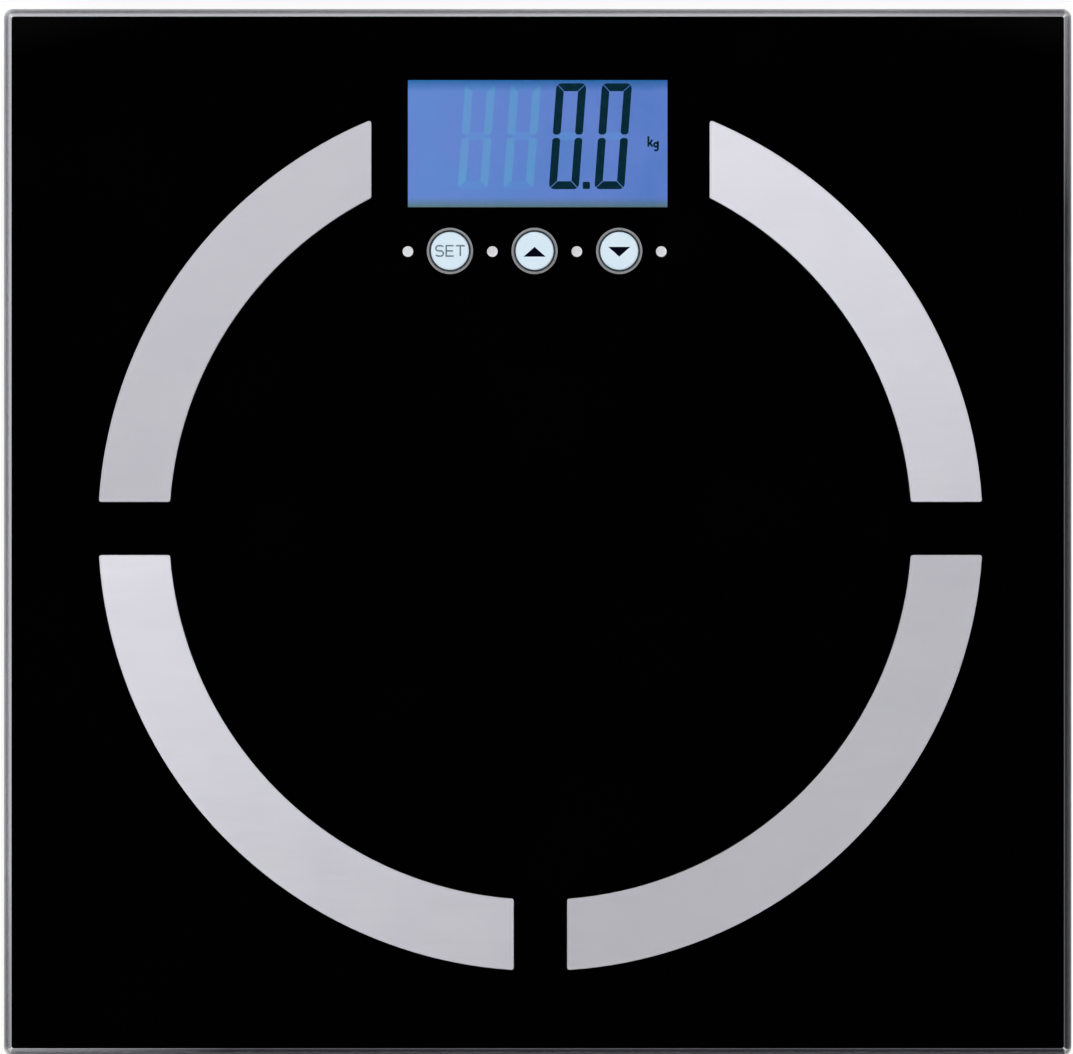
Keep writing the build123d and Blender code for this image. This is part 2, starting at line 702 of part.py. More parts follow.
def tray_shell():
    top = Pos(0.0, 0.0, TRAY_TOP) * RectangleRounded(TRAY_W, TRAY_D, TRAY_CORNER_R)
    shell = extrude(top, -TRAY_H, taper=TRAY_TAPER)
    shell = fillet(lowest_edges(shell), TRAY_EDGE_R)
    flange = slab(
        TRAY_W + 2 * FLANGE_W,
        TRAY_D + 2 * FLANGE_W,
        TRAY_CORNER_R + FLANGE_W,
        TRAY_TOP - FLANGE_T,
        TRAY_TOP,
    )
    hollow = extrude(
        Pos(0.0, 0.0, TRAY_TOP)
        * RectangleRounded(TRAY_W - 2 * TRAY_WALL, TRAY_D - 2 * TRAY_WALL, TRAY_CORNER_R - TRAY_WALL),
        -(TRAY_H - TRAY_FLOOR_T),
        taper=TRAY_TAPER,
    )
    return shell + flange - hollow


def tray_ribs():
    rib_x = FOOT_X - WELL_OUTER_R - RIB_GAP
    top = TRAY_FLOOR + RIB_H
    bottom = TRAY_FLOOR - TRAY_FLOOR_T / 2
    ribs = [block(RIB_T, 2 * FOOT_Y, bottom, top, (sign * rib_x, 0.0)) for sign in (-1, 1)]
    for row in (-1, 0):
        ribs.append(block(2 * FOOT_X, RIB_T, bottom, top, (0.0, row * RIB_PITCH)))
    return ribs


def foot_well():
    well = cylinder(WELL_OUTER_R, TRAY_FLOOR, WELL_TOP)
    well -= cylinder(WELL_R, TRAY_FLOOR, WELL_ROOF)
    seat_y = LOAD_CELL_W / 2 - SEAT_W / 2
    seat_l = LOAD_CELL_W - 2 * LOAD_CELL_CORNER_R
    for sign in (-1, 1):
        well += block(seat_l, SEAT_W, LOAD_CELL_TOP, WELL_ROOF, (0.0, sign * seat_y))
    for place in clip_screw_places():
        well += cylinder(CLIP_BOSS_R, LOAD_CELL_BOTTOM, WELL_ROOF, place)
        well -= cylinder(SCREW_R + THREAD_GAP, LOAD_CELL_BOTTOM, WELL_ROOF, place)
    slot_place = (WELL_R + WELL_WALL / 2, 0.0)
    return well - block(2 * WELL_WALL, WIRE_SLOT_W, LOAD_CELL_TOP, WELL_ROOF, slot_place)


def coin_bay_walls():
    rim = 2 * (DOOR_GAP + BAY_LEDGE_RIM)
    walls = block(DOOR_W + rim, DOOR_D + rim, TRAY_BOTTOM, BAY_LEDGE + BAY_LEDGE_T, (0.0, BAY_Y))
    return walls + block(BAY_W + 2 * BAY_WALL, BAY_D + 2 * BAY_WALL, BAY_LEDGE, BAY_TOP, (0.0, BAY_Y))


def coin_bay_cuts():
    axle = Pos(0.0, HINGE_Y, HINGE_Z) * Rot(0.0, 90.0, 0.0)
    bore_l = DOOR_W + 2 * (HINGE_PIN_L + DOOR_GAP)
    cuts = [
        block(DOOR_W + 2 * DOOR_GAP, DOOR_D + 2 * DOOR_GAP, TRAY_BOTTOM, BAY_LEDGE, (0.0, BAY_Y)),
        block(BAY_W, BAY_D, BAY_LEDGE, BAY_ROOF, (0.0, BAY_Y)),
        axle * Cylinder(HINGE_PIN_R + HINGE_GAP, bore_l),
        block(bore_l, HINGE_MOUTH, TRAY_BOTTOM, HINGE_Z, (0.0, HINGE_Y)),
    ]
    scoop_y = BAY_Y + DOOR_D / 2 + DOOR_GAP
    scoop_z = TRAY_BOTTOM - SCOOP_R + SCOOP_DEPTH
    cuts.append(Pos(0.0, scoop_y, scoop_z) * Sphere(SCOOP_R))
    for sign in (-1, 1):
        spring_slot = (sign * SPRING_TAB_X, BAY_Y)
        contact_slot = (sign * CONTACT_X, TAB_Y)
        room = 2 * TAB_GAP
        cuts.append(block(SPRING_T + room, SPRING_W + room, BAY_ROOF, BAY_TOP, spring_slot))
        cuts.append(block(CONTACT_T + room, TAB_W + room, BAY_ROOF, BAY_TOP, contact_slot))
    return cuts


def base_tray():
    tray = tray_shell()
    for rib in tray_ribs():
        tray += rib
    for end, end_sign in ENDS:
        for side, side_sign in SIDES:
            spot = foot_place(end_sign, side_sign)
            tray -= spot * cylinder(WELL_OUTER_R, TRAY_FLOOR, WELL_TOP)
            tray -= spot * cylinder(WELL_R, TRAY_BOTTOM, TRAY_FLOOR)
            tray += spot * foot_well()
    tray += coin_bay_walls()
    for cut in coin_bay_cuts():
        tray -= cut
    for place in BOARD_SCREW_PLACES:
        tray += cylinder(BOSS_R, TRAY_FLOOR, BOARD_BOTTOM, place)
        tray -= cylinder(SCREW_R + THREAD_GAP, TRAY_FLOOR, BOARD_BOTTOM, place)
    tray -= cylinder(UNIT_R + UNIT_GAP, TRAY_BOTTOM, TRAY_FLOOR, (UNIT_X, UNIT_Y))
    label_place = (0.0, BAY_Y - LABEL_DROP)
    return tray - block(LABEL_W, LABEL_D, TRAY_BOTTOM, TRAY_BOTTOM + LABEL_DEPTH, label_place)


# Wires, each a round core swept along straight runs and arcs

def wire(points):
    if len(points) == 2:
        path = Line(*points)
    else:
        path = FilletPolyline(*points, radius=WIRE_BEND_R)
    return sweep(Plane(origin=path @ 0, z_dir=path % 0) * Circle(WIRE_R), path=path)


BOARD_WIRE_Z = BOARD_TOP + WIRE_R
FILM_WIRE_Z = FILM_BOTTOM - WIRE_R
BAY_WIRE_Z = TAB_TOP - WIRE_R
BOARD_SIDE_LANDING = BOARD_W / 2 - WIRE_LANDING
BOARD_KEY_LANDING = BOARD_Y_MIN + WIRE_LANDING
CELL_TRUNK_X = 62.0
CELL_TRUNK_Y = 46.0
CELL_LANDING_X = 40.0
ARC_TRUNK_X = 55.0
ARC_TRUNK_Y = 46.0
ARC_LANDING_X = 34.5
BAY_LANDING_X = 10.0
APPROACH = 8.0


def load_cell_wires():
    wires = []
    start_x = FOOT_X - GAUGE_X - GAUGE_W / 2
    cell_z = LOAD_CELL_TOP + WIRE_R
    approach_y = BOARD_Y_MIN - APPROACH
    turn = math.atan2(CELL_TRUNK_X - CELL_LANDING_X, approach_y - CELL_TRUNK_Y)
    for side, sign in SIDES:
        for lane in (-WIRE_PITCH, 0.0, WIRE_PITCH):
            toe_y = FOOT_Y + lane
            wires.append(wire([
                (sign * start_x, toe_y, cell_z),
                (sign * BOARD_SIDE_LANDING, toe_y, BOARD_WIRE_Z),
            ]))
            heel_y = -FOOT_Y + lane
            drift = lane * math.tan(turn / 2)
            wires.append(wire([
                (sign * start_x, heel_y, cell_z),
                (sign * (CELL_TRUNK_X + lane), heel_y, cell_z),
                (sign * (CELL_TRUNK_X + lane), CELL_TRUNK_Y + drift, cell_z),
                (sign * (CELL_LANDING_X + lane), approach_y + drift, BOARD_WIRE_Z),
                (sign * (CELL_LANDING_X + lane), BOARD_KEY_LANDING, BOARD_WIRE_Z),
            ]))
    return Compound(wires)


def electrode_wires():
    wires = []
    for side, sign in SIDES:
        toe_x, toe_y = stud_place("toe", sign)
        heel_x, heel_y = stud_place("heel", sign)
        edge_x = BOARD_W / 2
        wires.append(wire([
            (toe_x - sign * TERMINAL_TAIL, toe_y, FILM_WIRE_Z),
            (sign * (edge_x + 2 * APPROACH), toe_y, FILM_WIRE_Z),
            (sign * edge_x, KEY_Y, BOARD_WIRE_Z),
            (sign * BOARD_SIDE_LANDING, KEY_Y, BOARD_WIRE_Z),
        ]))
        wires.append(wire([
            (heel_x - sign * TERMINAL_TAIL, heel_y, FILM_WIRE_Z),
            (sign * ARC_TRUNK_X, heel_y, FILM_WIRE_Z),
            (sign * ARC_TRUNK_X, ARC_TRUNK_Y, FILM_WIRE_Z),
            (sign * ARC_LANDING_X, BOARD_Y_MIN - APPROACH, FILM_WIRE_Z),
            (sign * ARC_LANDING_X, BOARD_Y_MIN, BOARD_WIRE_Z),
            (sign * ARC_LANDING_X, BOARD_KEY_LANDING, BOARD_WIRE_Z),
        ]))
    return Compound(wires)


def battery_wires():
    tab_end = TAB_Y + TAB_W / 2
    spring_end = BAY_Y + SPRING_W / 2
    turn_y = BAY_Y + BAY_D / 2 + APPROACH
    link_y = BAY_Y - BAY_D / 2
    supplies = [
        (-CONTACT_X, tab_end, -BAY_LANDING_X),
        (SPRING_TAB_X, spring_end, BAY_LANDING_X),
    ]
    wires = [
        wire([
            (x, y, BAY_WIRE_Z),
            (x, turn_y, BAY_WIRE_Z),
            (landing_x, BOARD_Y_MIN, BOARD_WIRE_Z),
            (landing_x, BOARD_KEY_LANDING, BOARD_WIRE_Z),
        ])
        for x, y, landing_x in supplies
    ]
    wires.append(wire([
        (-SPRING_TAB_X, BAY_Y - SPRING_W / 2, BAY_WIRE_Z),
        (-SPRING_TAB_X, link_y, BAY_WIRE_Z),
        (CONTACT_X, link_y, BAY_WIRE_Z),
        (CONTACT_X, TAB_Y - TAB_W / 2, BAY_WIRE_Z),
    ]))
    return Compound(wires)


# The whole scale, one entry for each piece

pieces = {
    "glass_platform": glass_platform(),
    "back_film": back_film(),
    "dot_marks": dot_marks(),
    "glass_tape": glass_tape(),
    "electrode_terminals": electrode_terminals(),
    "electrode_nuts": electrode_nuts(),
    "base_tray": base_tray(),
    "main_board": main_board(),
    "controller_chip": controller_chip(),
    "board_screws": board_screws(),
    "lcd_panel": lcd_panel(),
    "lcd_backlight": lcd_backlight(),
    "lcd_frame": lcd_frame(),
    "zebra_strips": zebra_strips(),
    "key_switches": key_switches(),
    "battery_door": battery_door(),
    "coin_cells": coin_cells(),
    "cell_springs": cell_springs(),
    "cell_side_contacts": cell_side_contacts(),
    "unit_button": unit_button(),
    "unit_switch": unit_switch(),
    "unit_switch_plunger": unit_switch_plunger(),
    "load_cell_wires": load_cell_wires(),
    "electrode_wires": electrode_wires(),
    "battery_wires": battery_wires(),
}

for name, place in zip(KEYS, KEY_PLACES):
    pieces[f"key_ring_{name}"] = key_ring(place)
    pieces[f"key_cap_{name}"] = key_cap(place)
    pieces[f"switch_plunger_{name}"] = switch_plunger(place)

gauges = []
clip_screws = []
for end, end_sign in ENDS:
    for side, side_sign in SIDES:
        corner = f"{end}_{side}"
        spot = foot_place(end_sign, side_sign)
        pieces[f"electrode_{corner}"] = electrode(end, end_sign, side_sign)
        pieces[f"foot_{corner}"] = spot * foot()
        pieces[f"foot_pad_{corner}"] = spot * foot_pad()
        pieces[f"load_cell_{corner}"] = spot * load_cell()
        pieces[f"load_cell_clip_{corner}"] = spot * load_cell_clip()
        gauges.append(spot * strain_gauge())
        clip_screws += [spot * clip_screw(place) for place in clip_screw_places()]
pieces["strain_gauges"] = Compound(gauges)
pieces["clip_screws"] = Compound(clip_screws)

os.makedirs("parts", exist_ok=True)
for name, shape in pieces.items():
    export_step(shape, f"parts/{name}.step")
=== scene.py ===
import json
import math

import bmesh
import bpy
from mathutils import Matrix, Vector


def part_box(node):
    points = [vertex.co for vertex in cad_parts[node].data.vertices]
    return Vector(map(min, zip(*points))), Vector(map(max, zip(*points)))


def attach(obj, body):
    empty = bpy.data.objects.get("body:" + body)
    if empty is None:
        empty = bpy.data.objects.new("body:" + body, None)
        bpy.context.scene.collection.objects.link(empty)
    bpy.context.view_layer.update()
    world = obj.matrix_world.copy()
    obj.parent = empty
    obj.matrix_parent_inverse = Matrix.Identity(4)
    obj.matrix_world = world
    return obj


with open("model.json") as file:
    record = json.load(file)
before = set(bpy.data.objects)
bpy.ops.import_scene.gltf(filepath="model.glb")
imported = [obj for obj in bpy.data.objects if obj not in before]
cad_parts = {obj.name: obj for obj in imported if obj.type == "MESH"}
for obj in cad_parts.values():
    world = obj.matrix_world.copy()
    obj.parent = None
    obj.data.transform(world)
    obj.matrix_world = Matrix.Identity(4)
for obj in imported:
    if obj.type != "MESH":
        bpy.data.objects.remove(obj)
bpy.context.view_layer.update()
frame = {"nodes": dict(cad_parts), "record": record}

# The looks of a digital bathroom scale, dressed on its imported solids.
# Lengths are in metres, written as millimetres times MM, in the frame of the solids.
MM = 0.001
EVEN = (1.0, 1.0, 1.0)
WHITE = (1.0, 1.0, 1.0)

# Display: digits of seven segments, a decimal point and a unit sign, placed from the middle of the panel
DIGIT_W = 8.75 * MM
DIGIT_H = 30.8 * MM
DIGIT_PITCH = 13.25 * MM
DIGIT_X = -23.3 * MM
DIGIT_Y = -13.25 * MM
DIGIT_CORNER_R = 1.6 * MM
DIGIT_SLANT = math.radians(4.2)
SEGMENT_W = 2.3 * MM
MITRE_GAP = 0.14 * MM
MIDDLE_GAP = 0.5 * MM
SEGMENT_NIP = 0.55 * MM
POINT_X = 14.15 * MM
POINT_Y = -12.15 * MM
POINT_W = 2.1 * MM
POINT_CORNER_R = 0.42 * MM
UNIT_X = 32.2 * MM
UNIT_Y = -0.9 * MM
UNIT_H = 2.05 * MM
UNIT_STROKE = 0.58 * MM
LIT_SEGMENTS = ("", "", "abcdef", "abcdef")
GHOST_SEGMENTS = {"level": "ad", "middle": "g", "upright": "bcef"}
GHOST_BASE = 0.01 * MM
GHOST_T = 0.02 * MM
LIT_BASE = 0.04 * MM
LIT_T = 0.06 * MM

# Colours of the display, with painted shade along its long edges, and how far its edges are hidden under the
# film
LCD_HIDDEN = 2.5 * MM
LCD_CLOUD = 14 * MM
LCD_DARK = ((0.010, 0.022, 0.06), (0.014, 0.028, 0.07))
BLUE_LEFT = (0.112, 0.240, 0.62)
BLUE_RIGHT = (0.078, 0.182, 0.53)
VIOLET = (0.125, 0.205, 0.60)
VIOLET_SHARE = 0.7
# Painted shade along the long edges of the display window, multiplied into its blue
LCD_PAINTED_EDGE_SHADE = [
    (0.0, (0.86, 0.78, 0.25)),
    (0.08, WHITE),
    (0.91, WHITE),
    (1.0, (0.02, 0.50, 0.55)),
]
LIT_INK = ((0.001, 0.020, 0.034), (0.003, 0.028, 0.046))
GHOST_LOOKS = {
    "level": ((0.92, 1.0, 0.92), 1.12),
    "middle": ((0.85, 1.0, 0.86), 1.23),
    "upright": ((0.75, 1.0, 0.715), 1.42),
}

# Signs printed on the keys
SIGN_SINK = 0.01 * MM
SIGN_T = 0.03 * MM
LETTER_H = 3.0 * MM
LETTER_W = 2.16 * MM
LETTER_STROKE = 0.42 * MM
LETTER_PITCH = 3.0 * MM
TRIANGLE_W = 6.4 * MM
TRIANGLE_H = 2.85 * MM
TRIANGLE_DROP = 0.25 * MM
LETTER_INK = ((0.13, 0.17, 0.21), (0.16, 0.20, 0.24))
ARROW_INK = ((0.001, 0.001, 0.007), (0.001, 0.002, 0.010))

# Grain of thin print
INK_CLOUD = 2 * MM
INK_GRAIN = 0.3 * MM
INK_ROUGH = (0.45, 0.6)

# Finger ridges under the battery door
GRIP_COUNT = 4
GRIP_PITCH = 1.3 * MM
GRIP_L = 9.0 * MM
GRIP_R = 0.45 * MM
GRIP_EDGE = 1.8 * MM
GRIP_TAPER = 0.3

# Glass: a grey rim a little wider than the clear border round the film, with a line along its outside; the
# grey is partly the tint of a ground edge and partly painted shadow of the plate on the floor seen through
# the border, and painted shade makes it darker on the right and heel side
GLASS_IOR = 1.52
GLASS_TINT = (0.985, 0.995, 0.99)
GLASS_RIM = 2.1 * MM
RIM_LINE = 0.5 * MM
RIM_FADE = 0.15 * MM
# Painted shade by side: the rim runs over this distance from the shaded colours on the right and heel side
# to the paler colour on the left and toe side
PAINTED_SHADE_TURN = 60 * MM
RIM_PAINTED_SHADE = (0.03, 0.03, 0.035)
LINE_PAINTED_SHADE = (0.42, 0.42, 0.45)
RIM_PAINTED_PALE_SIDE = (0.50, 0.50, 0.54)
CORNER_CLEAR = 0.7
ARRIS_ROUGH = 0.5
ARRIS_TILT = (0.8, 0.95)
SMEAR_SIZE = 25 * MM
SMEAR_ROUGH = 0.02

# Contact arcs: the direction of each arc's chord, along which it is brushed
ARC_CHORDS = {
    "electrode_toe_left": math.radians(45),
    "electrode_toe_right": math.radians(-45),
    "electrode_heel_left": math.radians(-45),
    "electrode_heel_right": math.radians(45),
}
STEEL_BRUSH = 0.75
STEEL_CLOUD = 22 * MM
STREAK_W = 0.25 * MM
STREAK_STRETCH = (60.0, 1.0, 1.0)
STREAK_DEPTH = 0.0015 * MM
QUARTER_TURN = 0.25

# Plain finishes by slot: the two colours it clouds between, the size and depth of its grain in
# millimetres, its range of roughness, then its metallic value and the stretch of its grain
CLOUD_SIZE = 12 * MM
PLAIN_FINISHES = {
    "white_print": ((0.80, 0.80, 0.83), (0.86, 0.86, 0.88), 0.3, 0.004, (0.5, 0.6)),
    "foam_tape": ((0.012, 0.012, 0.013), (0.022, 0.022, 0.023), 0.35, 0.10, (0.8, 0.95)),
    "tinned_brass": ((0.70, 0.60, 0.36), (0.80, 0.72, 0.50), 0.4, 0.01, (0.25, 0.4), 1.0),
    "tray_plastic": ((0.010, 0.010, 0.011), (0.016, 0.016, 0.018), 0.45, 0.04, (0.42, 0.6)),
    "foot_plastic": ((0.013, 0.013, 0.015), (0.020, 0.020, 0.022), 0.5, 0.02, (0.35, 0.5)),
    "pad_rubber": ((0.040, 0.040, 0.042), (0.062, 0.062, 0.064), 0.6, 0.05, (0.75, 0.9)),
    "cell_alloy": ((0.62, 0.62, 0.64), (0.74, 0.74, 0.76), 0.25, 0.01, (0.3, 0.45), 1.0, (30.0, 1.0, 1.0)),
    "gauge_coat": ((0.78, 0.78, 0.74), (0.88, 0.88, 0.84), 0.8, 0.05, (0.5, 0.65)),
    "clip_plastic": ((0.62, 0.62, 0.60), (0.72, 0.72, 0.70), 0.5, 0.02, (0.4, 0.55)),
    "screw_steel": ((0.52, 0.52, 0.54), (0.66, 0.66, 0.68), 0.2, 0.01, (0.25, 0.4), 1.0),
    "chip_resin": ((0.006, 0.006, 0.006), (0.012, 0.012, 0.012), 1.2, 0.05, (0.12, 0.25)),
    "light_guide": ((0.62, 0.70, 0.84), (0.74, 0.82, 0.94), 1.0, 0.02, (0.15, 0.3)),
    "frame_plastic": ((0.74, 0.74, 0.72), (0.84, 0.84, 0.82), 0.5, 0.02, (0.4, 0.55)),
    "ring_chrome": ((0.47, 0.48, 0.50), (0.55, 0.56, 0.58), 0.2, 0.004, (0.28, 0.4), 1.0),
    "switch_plastic": ((0.015, 0.015, 0.016), (0.025, 0.025, 0.027), 0.4, 0.02, (0.45, 0.6)),
    "plunger_plastic": ((0.45, 0.45, 0.43), (0.58, 0.58, 0.56), 0.4, 0.02, (0.4, 0.55)),
    "cell_steel": ((0.66, 0.66, 0.68), (0.76, 0.76, 0.78), 0.3, 0.006, (0.16, 0.3), 1.0),
    "contact_nickel": ((0.62, 0.60, 0.56), (0.72, 0.70, 0.66), 0.3, 0.01, (0.25, 0.4), 1.0),
    "wire_red": ((0.42, 0.015, 0.015), (0.55, 0.03, 0.03), 0.6, 0.02, (0.35, 0.5)),
    "wire_white": ((0.68, 0.68, 0.68), (0.80, 0.80, 0.80), 0.6, 0.02, (0.35, 0.5)),
    "wire_black": ((0.012, 0.012, 0.012), (0.022, 0.022, 0.022), 0.6, 0.02, (0.35, 0.5)),
}

# Camera straight above
CAMERA_X = -0.35 * MM
CAMERA_Y = 1.57 * MM
CAMERA_RISE = 2000 * MM
CAMERA_FAR = 50.0
VIEW_W = 311.5 * MM
SENSOR_W = 36.0

# Floor: a disc with a share of even white that grows outwards, from one distance and share to another
FLOOR_R = 8.0
FLOOR_SIDES = 64
FLOOR_GLOW = 1.14
FLOOR_NEAR = (0.3, 0.68)
FLOOR_FAR = (1.5, 0.9)

# Room: light by height, from 0 at the horizon to 1 overhead, and a dark patch tilted to the heels
WALL_LIGHT = 0.13
CEILING_LIGHT = 1.03
SKYLINE_FADE = (0.05, 0.25)
CEILING_FADE = (0.45, 0.82)
SHADE_TILT = math.radians(11)
SHADE_DARK = math.radians(15.5)
SHADE_END = math.radians(25)

# Lamps: place, side of the square and power in watts, all turned to the middle of the floor
LAMPS = {
    "key_lamp": ((0.75, 0.95, 1.1), 0.7, 6.1),
    "fill_lamp": ((-0.95, -0.4, 0.9), 0.6, 4.8),
    "side_lamp": ((0.9, -0.9, 1.5), 0.7, 0.6),
    "back_lamp": ((-0.9, 0.9, 1.3), 0.6, 3.4),
}

ARC_STEP = math.radians(10)


# Node helpers

def feed(tree, socket, value):
    """Links an input to another node's output, or sets its value."""
    if isinstance(value, bpy.types.NodeSocket):
        tree.links.new(value, socket)
    else:
        socket.default_value = value


def add(tree, kind, inputs=None, **settings):
    node = tree.nodes.new(kind)
    for key, value in settings.items():
        setattr(node, key, value)
    for key, value in (inputs or {}).items():
        feed(tree, node.inputs[key], value)
    return node


def finish_shader(shader, inputs):
    for key, value in inputs.items():
        feed(shader.id_data, shader.inputs[key], value)


def new_material(name, inputs):
    material = bpy.data.materials.new(name)
    material.use_nodes = True
    shader = material.node_tree.nodes["Principled BSDF"]
    finish_shader(shader, inputs)
    return material, material.node_tree, shader


def rgba(red, green, blue):
    return (red, green, blue, 1.0)


def calc(tree, operation, *values):
    return add(tree, "ShaderNodeMath", dict(enumerate(values)), operation=operation).outputs[0]


def place_coords(tree, scale=EVEN, turn=0.0):
    coords = add(tree, "ShaderNodeTexCoord")
    inputs = {"Vector": coords.outputs["Object"], "Scale": scale, "Rotation": (0.0, 0.0, turn)}
    return add(tree, "ShaderNodeMapping", inputs).outputs[0]


def place_axes(tree):
    """Object coordinates, as three outputs X, Y and Z."""
    coords = add(tree, "ShaderNodeTexCoord")
    return add(tree, "ShaderNodeSeparateXYZ", {0: coords.outputs["Object"]}).outputs


def noise(tree, size, detail=2.0, stretch=EVEN, turn=0.0):
    """Cloudy noise whose lumps are about size across, drawn out by stretch, on axes turned about Z."""
    coords = place_coords(tree, tuple(1.0 / value for value in stretch), turn)
    inputs = {"Vector": coords, "Scale": 1.0 / size, "Detail": detail}
    return add(tree, "ShaderNodeTexNoise", inputs).outputs["Fac"]


def ramp(tree, fac, stops):
    """A colour that runs through the stops, each a place from 0 to 1 and a colour, as fac rises."""
    node = add(tree, "ShaderNodeValToRGB", {"Fac": fac})
    marks = node.color_ramp.elements
    while len(marks) < len(stops):
        marks.new(1.0)
    for mark, (place, colour) in zip(marks, stops):
        mark.position = place
        mark.color = rgba(*colour)
    return node.outputs["Color"]


def blend(tree, fac, low, high):
    """A colour between low and high, as fac goes over the middle of its range."""
    return ramp(tree, fac, [(0.3, low), (0.7, high)])


def mixed(tree, fac, first, second, way="MIX"):
    """A colour made from two, mixed or multiplied."""
    inputs = {0: fac, 6: first, 7: second}
    return add(tree, "ShaderNodeMix", inputs, data_type="RGBA", blend_type=way).outputs[2]


def spread(tree, fac, low, high, start=0.3, end=0.7):
    """A value that goes from low to high as fac goes from start to end, and stays there beyond."""
    inputs = {"Value": fac, "From Min": start, "From Max": end, "To Min": low, "To Max": high}
    return add(tree, "ShaderNodeMapRange", inputs).outputs["Result"]


def bumps(tree, height, depth, strength=1.0):
    inputs = {"Height": height, "Distance": depth, "Strength": strength}
    return add(tree, "ShaderNodeBump", inputs).outputs["Normal"]


# Materials

def plain_finish(name, low, high, grain_mm, depth_mm, rough, metallic=0.0, stretch=EVEN):
    """A surface with clouded colour, and fine grain in its roughness and relief."""
    material, tree, shader = new_material(name, {"Metallic": metallic})
    fine = noise(tree, grain_mm * MM, 3.0, stretch)
    finish_shader(shader, {
        "Base Color": blend(tree, noise(tree, CLOUD_SIZE), low, high),
        "Roughness": spread(tree, fine, *rough),
        "Normal": bumps(tree, fine, depth_mm * MM),
    })
    return material


def let_light_through(tree, shader):
    """Lamps shine through the piece as if it were not there, so that what lies under it is lit."""
    path = add(tree, "ShaderNodeLightPath")
    passing = calc(tree, "MAXIMUM", path.outputs["Is Shadow Ray"], path.outputs["Is Diffuse Ray"])
    clear = add(tree, "ShaderNodeBsdfTransparent", {"Color": rgba(*WHITE)})
    mix = add(tree, "ShaderNodeMixShader", {0: passing, 1: shader.outputs[0], 2: clear.outputs[0]})
    tree.links.new(mix.outputs[0], tree.nodes["Material Output"].inputs["Surface"])


def clear_glass():
    """Polished faces and ground edges, with a grey rim that is partly edge tint and partly painted shadow,
    and painted shade that makes it darker towards the right and the heels.
    """
    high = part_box("glass_platform")[1]
    material, tree, shader = new_material("clear_glass", {"IOR": GLASS_IOR, "Transmission Weight": 1.0})
    axes = place_axes(tree)
    rims, lines = [], []
    for axis in (0, 1):
        reach = calc(tree, "ABSOLUTE", axes[axis])
        for masks, width in ((rims, GLASS_RIM), (lines, RIM_LINE)):
            start = high[axis] - width
            masks.append(spread(tree, reach, 0.0, 1.0, start, start + RIM_FADE))
    corner = calc(tree, "MULTIPLY", *rims)
    side = calc(tree, "MAXIMUM", *rims)
    # The rim mask carries an edge tint and painted shadow together, and is clearer at the corners
    rim_tint_and_painted_shadow = calc(tree, "MULTIPLY_ADD", corner, -CORNER_CLEAR, side)
    line = calc(tree, "MAXIMUM", *lines)
    # Painted shade: the rim is darker on the right and heel side and paler on the left and toe side
    turn = spread(tree, calc(tree, "SUBTRACT", axes["Y"], axes["X"]), 0.0, 1.0, -PAINTED_SHADE_TURN, PAINTED_SHADE_TURN)
    shaded_inner_band = ramp(tree, turn, [(0.0, RIM_PAINTED_SHADE), (1.0, RIM_PAINTED_PALE_SIDE)])
    shaded_outer_line = ramp(tree, turn, [(0.0, LINE_PAINTED_SHADE), (1.0, RIM_PAINTED_PALE_SIDE)])
    tint = mixed(tree, line, shaded_inner_band, shaded_outer_line)
    geometry = add(tree, "ShaderNodeNewGeometry")
    normal = add(tree, "ShaderNodeSeparateXYZ", {0: geometry.outputs["Normal"]})
    sloping = spread(tree, calc(tree, "ABSOLUTE", normal.outputs["Z"]), 1.0, 0.0, *ARRIS_TILT)
    smear = spread(tree, noise(tree, SMEAR_SIZE), 0.0, SMEAR_ROUGH)
    # Base colour: the clear glass tint, with the painted shadow and painted shade of the rim
    finish_shader(shader, {
        "Base Color": mixed(tree, rim_tint_and_painted_shadow, rgba(*GLASS_TINT), tint),
        "Roughness": calc(tree, "MULTIPLY_ADD", sloping, ARRIS_ROUGH, smear),
    })
    let_light_through(tree, shader)
    return material


def black_film():
    material, tree, shader = new_material("black_film", {"Specular IOR Level": 0.0})
    finish_shader(shader, {
        "Base Color": blend(tree, noise(tree, 30 * MM), (0.0003, 0.0003, 0.0004), (0.0005, 0.0005, 0.0006)),
        "Roughness": spread(tree, noise(tree, 0.4 * MM), 0.45, 0.6),
    })
    return material


def contact_steel(name, chord):
    """Satin steel, brushed straight along the chord of the arc."""
    material, tree, shader = new_material(name, {
        "Metallic": 1.0,
        "Anisotropic": STEEL_BRUSH,
        "Anisotropic Rotation": (chord / math.tau + QUARTER_TURN) % 1.0,
    })
    streaks = noise(tree, STREAK_W, 2.0, STREAK_STRETCH, -chord)
    finish_shader(shader, {
        "Base Color": blend(tree, noise(tree, STEEL_CLOUD, 3.0), (0.76, 0.75, 0.82), (0.785, 0.775, 0.84)),
        "Roughness": spread(tree, streaks, 0.40, 0.46),
        "Normal": bumps(tree, streaks, STREAK_DEPTH, 0.5),
        "Tangent": add(tree, "ShaderNodeTangent", direction_type="RADIAL", axis="Y").outputs[0],
    })
    return material


